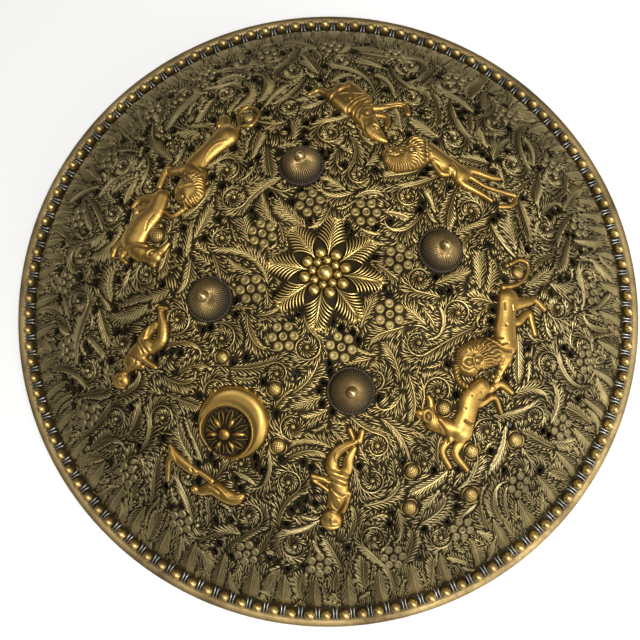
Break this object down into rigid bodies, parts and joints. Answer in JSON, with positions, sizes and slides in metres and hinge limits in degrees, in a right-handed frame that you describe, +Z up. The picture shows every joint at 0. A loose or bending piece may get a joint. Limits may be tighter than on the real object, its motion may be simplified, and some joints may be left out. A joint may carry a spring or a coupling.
{
  "type": "buckler shield",
  "caption": "Round convex brass shield with chased foliage, animals and figures in relief, a beaded rim, a leaf rosette and fluted pointed bosses, open and hollow behind.",
  "frame": {"origin": "on the rest plane under the rim, below the middle of the dome", "axes": "+Z up through the middle of the dome, the shield lying on its rim; +Y towards the draped beast in the relief"},
  "size_m": [0.4, 0.4, 0.0769],
  "materials": {
    "dish_brass": "antique brass, dark grey-brown in the recesses and worn bright on the high relief",
    "boss_brass": "dark antique brass, worn brighter towards the tip",
    "rivet_brass": "polished worn brass"
  },
  "bodies": {
    "root": {"shield_dish": "dish_brass", "boss_1": "boss_brass", "boss_2": "boss_brass", "boss_3": "boss_brass", "boss_4": "boss_brass", "boss_rivet_1": "rivet_brass", "boss_rivet_2": "rivet_brass", "boss_rivet_3": "rivet_brass", "boss_rivet_4": "rivet_brass"}
  },
  "joints": []
}
